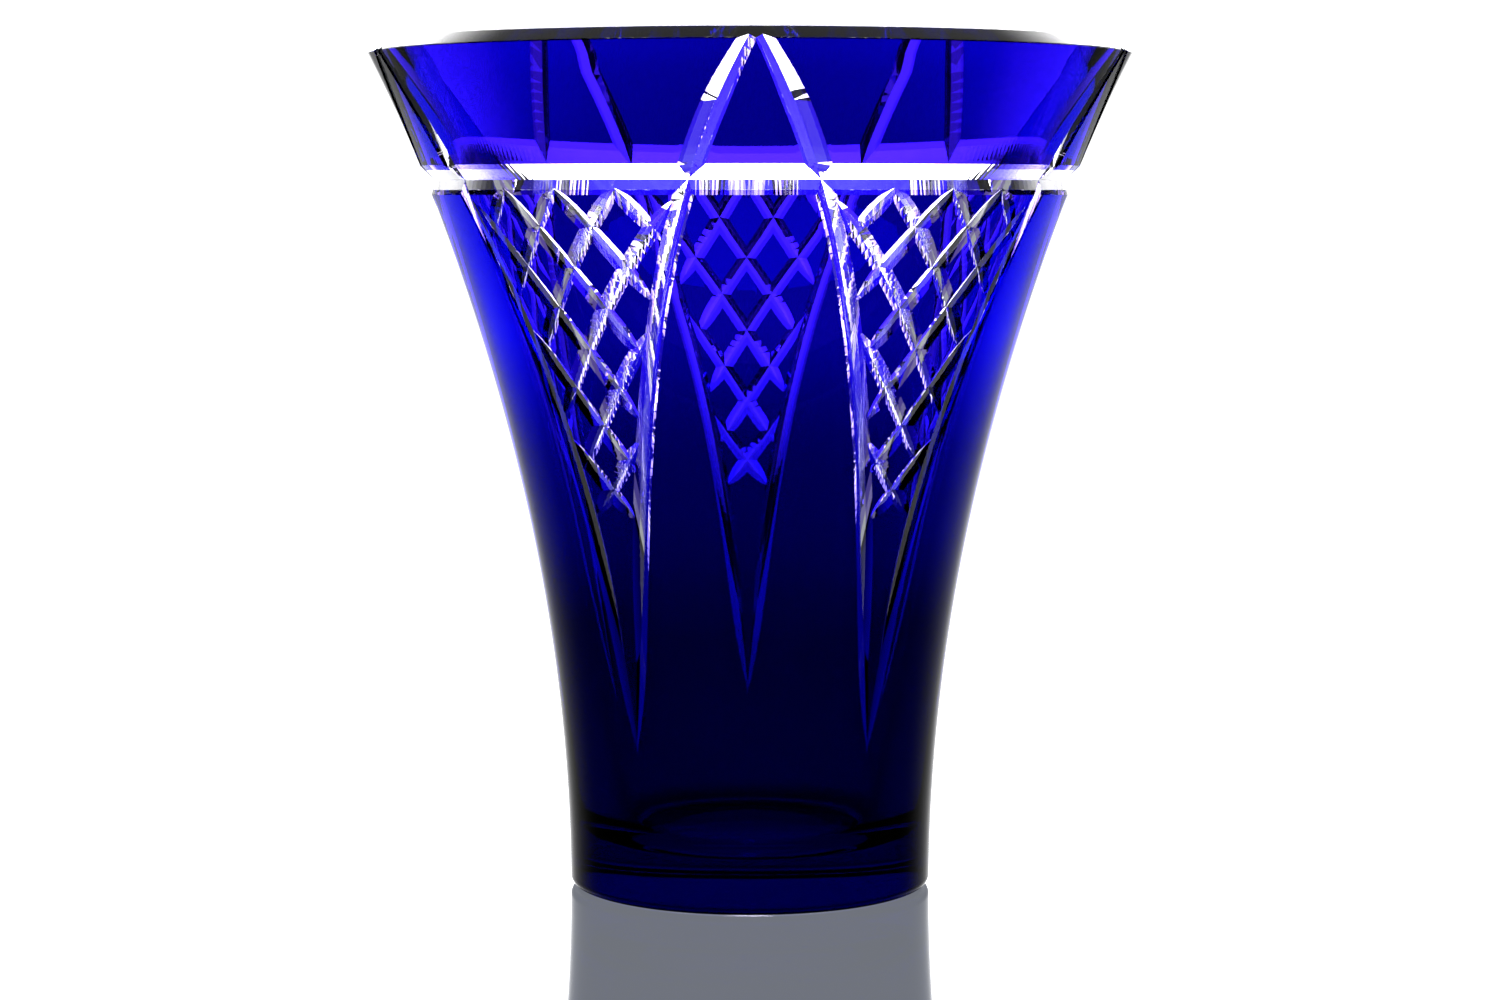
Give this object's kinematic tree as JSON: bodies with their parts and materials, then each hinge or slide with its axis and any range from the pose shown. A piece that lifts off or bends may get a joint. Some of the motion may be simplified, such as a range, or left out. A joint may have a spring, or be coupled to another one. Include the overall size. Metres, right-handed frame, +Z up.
{
  "type": "cut crystal vase",
  "caption": "Heavy flared vase of clear crystal under a cobalt-blue overlay, cut with pointed arches, a ring near the rim and fields of diamonds between the arches",
  "frame": {"origin": "centre of the underside, on the surface that the vase stands on", "axes": "+Z up along the axis; -Y is the front, through the middle of one pointed arch; +X to the right seen from the front"},
  "size_m": [0.2236, 0.2236, 0.25],
  "materials": {
    "clear_crystal": "polished clear lead crystal",
    "blue_casing": "polished transparent cobalt-blue overlay glass"
  },
  "bodies": {
    "root": {"crystal_body": "clear_crystal", "base_casing": "blue_casing", "rim_panel_1": "blue_casing", "rim_panel_2": "blue_casing", "rim_panel_3": "blue_casing", "rim_panel_4": "blue_casing", "rim_panel_5": "blue_casing", "arch_tip_1": "blue_casing", "arch_tip_2": "blue_casing", "arch_tip_3": "blue_casing", "arch_tip_4": "blue_casing", "arch_tip_5": "blue_casing", "diamond_field_1": "blue_casing", "diamond_field_2": "blue_casing", "diamond_field_3": "blue_casing", "diamond_field_4": "blue_casing", "diamond_field_5": "blue_casing"}
  },
  "joints": []
}
